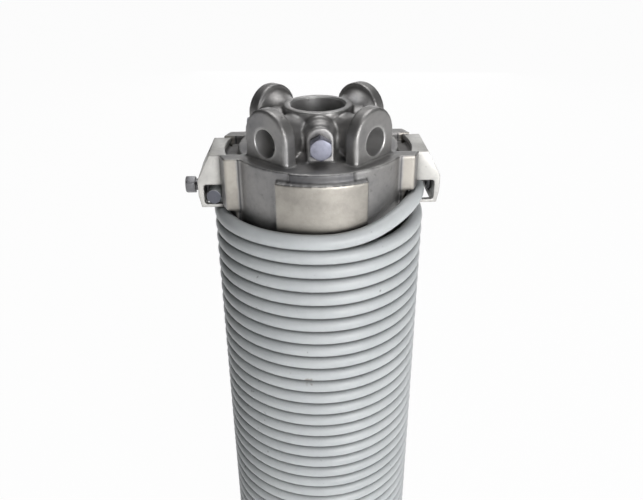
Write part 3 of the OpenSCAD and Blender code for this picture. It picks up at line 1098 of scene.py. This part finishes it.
@dataclass(frozen=True)
class PlugBores:
    """The holes of both plugs, in millimetres about a drum's outer face and degrees about the shaft."""

    shaft_r: float = 13.5
    shaft_chamfer: float = 0.9
    drum_floor: float = 11.0
    overrun: float = 1.0
    hub_height: float = 20.5
    socket_r: float = 6.75
    socket_depth: float = 20.0
    socket_drop: float = 11.7
    socket_chamfer: float = 0.35
    flange_reach: float = 37.0
    bolt_r: float = 4.15
    bolt_start: float = 12.0
    bolt_drop: float = 12.2
    bolt_chamfer: float = 0.2
    boss_reach: float = 28.5
    mount_thickness: float = 12.0
    mount_hole_r: float = 5.25
    mount_chamfer: float = 0.5
    mount_pitch: float = 127.0

    def _shaft(self, mouth: float) -> Bore:
        """Gives the shaft's bore from inside the drum to its mouth."""
        return Bore(self.shaft_r, -self.drum_floor, mouth, self.shaft_chamfer, overrun=self.overrun)

    def winding(self) -> tuple[Bore, ...]:
        """Gives the winding plug's holes: the shaft's, four bar sockets and four for set bolts.

        Returns:
            The holes.
        """
        sockets = [Bore(self.socket_r, self.flange_reach - self.socket_depth, self.flange_reach,
                        self.socket_chamfer, turn, self.hub_height - self.socket_drop)
                   for turn in (45, 135, 225, 315)]
        bolts = [Bore(self.bolt_r, self.bolt_start, self.boss_reach, self.bolt_chamfer, turn,
                      self.hub_height - self.bolt_drop) for turn in (0, 90, 180, 270)]
        return (self._shaft(self.hub_height), *sockets, *bolts)

    def stationary(self) -> tuple[Bore, ...]:
        """Gives the stationary plug's holes: the shaft's and two for the mounting bolts.

        Returns:
            The holes.
        """
        bolts = [Bore(self.mount_hole_r, SIZES.face_low - self.mount_thickness, SIZES.face_low,
                      self.mount_chamfer, across=side * self.mount_pitch / 2, overrun=self.overrun)
                 for side in (-1, 1)]
        return (self._shaft(SIZES.face_low), *bolts)


# ---- Clamps and bolts --------------------------------------------------------


@dataclass(frozen=True)
class EndClamps:
    """The two sheet clamps of one end, the nut in each and the bolt of the left one."""

    end: End
    sheet_ease: float = 0.35
    nut_ease: float = 0.25
    bolt_ease: float = 0.20

    def build(self, finishes: Finishes) -> None:
        """Builds the clamps, their nuts and the bolt.

        Args:
            finishes: The finishes.
        """
        clamp = f"{self.end.value}_clamp"
        for side in Side:
            eased(f"{clamp}_{side.value}", finishes.clamp, self.sheet_ease)
            eased(f"{clamp}_nut_{side.value}", finishes.dull, self.nut_ease)
        eased(f"{clamp}_bolt", finishes.dull, self.bolt_ease)


@dataclass(frozen=True)
class SetBolts:
    """The four bolts that lock the winding plug to the shaft."""

    ease: float = 0.22

    def build(self, finishes: Finishes) -> None:
        """Builds the bolts.

        Args:
            finishes: The finishes.
        """
        for boss in Boss:
            eased(f"set_bolt_{boss.value}", finishes.zinc, self.ease)


# ---- Stage -------------------------------------------------------------------


@dataclass(frozen=True)
class Lamp:
    """A soft square light, in metres and watts."""

    name: str
    place: tuple[float, float, float]
    side: float
    power: float

    def hang(self, target: Vector) -> None:
        """Hangs the light and aims it.

        Args:
            target: What it looks at, in metres.
        """
        light = bpy.data.lights.new(self.name, "AREA")
        light.size, light.energy = self.side, self.power
        holder = bpy.data.objects.new(self.name, light)
        bpy.context.collection.objects.link(holder)
        holder.location = self.place
        holder.rotation_mode = "QUATERNION"
        holder.rotation_quaternion = (target - Vector(self.place)).to_track_quat("-Z", "Y")


@dataclass(frozen=True)
class View:
    """The camera in front of and above the winding plug, in millimetres and degrees."""

    around: float = -2.0
    back: float = 325.85
    above_rim: float = 89.82
    pan: float = -0.22
    pitch: float = 27.85
    roll: float = -0.43
    lens: float = 37.25
    sensor: float = 36.0

    def build(self, rim: float) -> None:
        """Places the camera.

        Args:
            rim: The height of the hub's rim.
        """
        data = bpy.data.cameras.new("view")
        data.sensor_width, data.lens = self.sensor, self.lens
        data.clip_start, data.clip_end = 0.01, 20
        camera = bpy.data.objects.new("view", data)
        bpy.context.collection.objects.link(camera)
        place = turned(self.around) @ Vector((0, -self.back, rim + self.above_rim))
        camera.matrix_world = (Matrix.Translation(place * MM) @ turned(self.around + self.pan)
                               @ Matrix.Rotation(math.radians(90 - self.pitch), 4, "X")
                               @ turned(self.roll))
        bpy.context.scene.camera = camera


@dataclass(frozen=True)
class Stage:
    """The pale floor, the white surround, the soft lights and the camera."""

    rim: float = SIZES.face_high + PlugBores().hub_height
    aim_drop: float = 50.0
    floor_side: float = 6.0
    floor_tone: float = 0.86
    floor_white: float = 0.97
    horizon_light: float = 0.34
    ceiling_light: float = 0.10
    lamps: tuple[Lamp, ...] = (
        Lamp("front_right", (0.66, -1.38, 0.50), side=0.8, power=20),
        Lamp("front", (-0.10, -1.50, 0.30), side=0.7, power=2),
        Lamp("above", (0.1, 0.35, 1.5), side=0.9, power=9),
        Lamp("back", (0.15, 1.55, 0.45), side=0.9, power=5))

    def _floor(self) -> None:
        """Lays a pale floor that looks white to the camera and in the metal, but for the shadow."""
        work = bmesh.new()
        bmesh.ops.create_grid(work, x_segments=1, y_segments=1, size=self.floor_side)
        mesh = kept_mesh(work, "floor")
        floor = bpy.data.objects.new("floor", mesh)
        bpy.context.collection.objects.link(floor)
        material = bpy.data.materials.new("Pale floor")
        material.use_nodes = True
        g = Graph(material.node_tree)
        shader = g.tree.nodes["Principled BSDF"]
        shader.inputs["Base Color"].default_value = rgba((self.floor_tone,) * 3)
        shader.inputs["Roughness"].default_value = 0.9
        rays = g.add("ShaderNodeLightPath").outputs
        seen = g.maths("MAXIMUM", rays["Is Camera Ray"], rays["Is Glossy Ray"])
        white = g.add("ShaderNodeEmission", {"Color": (1, 1, 1, 1), "Strength": 1.0})
        both = g.add("ShaderNodeMixShader", {0: g.maths("MULTIPLY", seen, self.floor_white),
                                             1: shader.outputs[0], 2: white.outputs[0]})
        g.join(both.outputs[0], g.tree.nodes["Material Output"].inputs["Surface"])
        mesh.materials.append(material)

    def _surround(self) -> None:
        """Makes a surround that is white to the camera and lights the object from low down."""
        world = bpy.data.worlds.new("Surround")
        bpy.context.scene.world = world
        world.use_nodes = True
        g = Graph(world.node_tree)
        way = g.add("ShaderNodeTexCoord").outputs["Generated"]
        up = g.add("ShaderNodeSeparateXYZ", {0: way}).outputs["Z"]
        light = g.tree.nodes["Background"]
        g.join(g.ramp(up, 0.05, 0.75, self.horizon_light, self.ceiling_light), light.inputs["Strength"])
        white = g.add("ShaderNodeBackground", {"Color": (1, 1, 1, 1), "Strength": 1.0})
        seen = g.add("ShaderNodeLightPath").outputs["Is Camera Ray"]
        both = g.add("ShaderNodeMixShader", {0: seen, 1: light.outputs[0], 2: white.outputs[0]})
        g.join(both.outputs[0], g.tree.nodes["World Output"].inputs["Surface"])

    def build(self) -> None:
        """Sets up the whole stage."""
        self._floor()
        self._surround()
        for lamp in self.lamps:
            lamp.hang(Vector((0, 0, (self.rim - self.aim_drop) * MM)))
        View().build(self.rim)
        bpy.context.scene.view_settings.view_transform = "Standard"


# ---- Whole model -------------------------------------------------------------


def main() -> None:
    """Builds every piece."""
    logging.basicConfig(level=logging.INFO, format="%(message)s")
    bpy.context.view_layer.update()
    finishes, bores = Finishes(), PlugBores()
    SpringWire().build(finishes)
    CastPlug(End.WINDING, bores.winding()).build(finishes)
    CastPlug(End.STATIONARY, bores.stationary()).build(finishes)
    for end in End:
        EndClamps(end).build(finishes)
    SetBolts().build(finishes)
    Stage().build()


if __name__ == "__main__":
    main()
